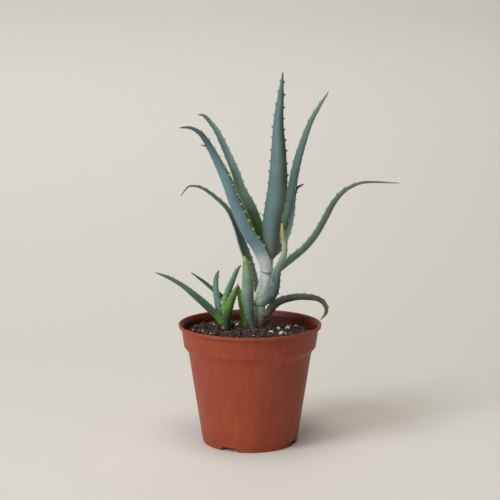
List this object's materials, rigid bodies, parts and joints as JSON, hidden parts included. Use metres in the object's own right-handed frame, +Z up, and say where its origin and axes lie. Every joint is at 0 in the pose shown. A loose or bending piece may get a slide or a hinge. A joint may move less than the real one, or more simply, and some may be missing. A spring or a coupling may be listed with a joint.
{
  "type": "potted aloe plant",
  "caption": "Branching aloe with toothed blue-green leaves and an offset, in a round tapered plastic nursery pot with potting soil and perlite.",
  "frame": {"origin": "on the surface the pot stands on, under the middle of the whole thing's box; the pot's axis is 22 mm to the left of it", "axes": "+Z up, the view from -Y is the front, +X to the right; the depth along Y is the pot's lip"},
  "size_m": [0.2166, 0.13, 0.3353],
  "materials": {
    "pot_plastic": "semi-matte terracotta-coloured moulded plastic",
    "potting_soil": "moist dark potting soil, crumbly",
    "stem": "pale waxy green-white sheaths",
    "blue_green_leaf": "waxy blue-grey green, satin",
    "fresh_leaf": "waxy, brighter green at the base",
    "perlite": "matte white popped mineral grains"
  },
  "bodies": {
    "root": {"pot": "pot_plastic", "soil": "potting_soil", "main_stem": "stem", "offset_stem": "stem", "leaf_upper_right": "blue_green_leaf", "leaf_back_right": "blue_green_leaf", "leaf_back_left": "blue_green_leaf", "leaf_upright_front": "blue_green_leaf", "leaf_channelled_left": "blue_green_leaf", "leaf_front_left": "blue_green_leaf", "leaf_arching_right": "blue_green_leaf", "leaf_curled_left": "blue_green_leaf", "leaf_sweeping_front": "blue_green_leaf", "leaf_low_front": "blue_green_leaf", "leaf_drooping_right": "blue_green_leaf", "offset_leaf_inner": "fresh_leaf", "offset_leaf_back_left": "fresh_leaf", "offset_leaf_right": "fresh_leaf", "offset_leaf_long_left": "fresh_leaf", "offset_leaf_front": "fresh_leaf", "offset_leaf_rear": "fresh_leaf", "perlite_1": "perlite", "perlite_2": "perlite", "perlite_3": "perlite", "perlite_4": "perlite", "perlite_5": "perlite", "perlite_6": "perlite", "perlite_7": "perlite", "perlite_8": "perlite"}
  },
  "joints": []
}
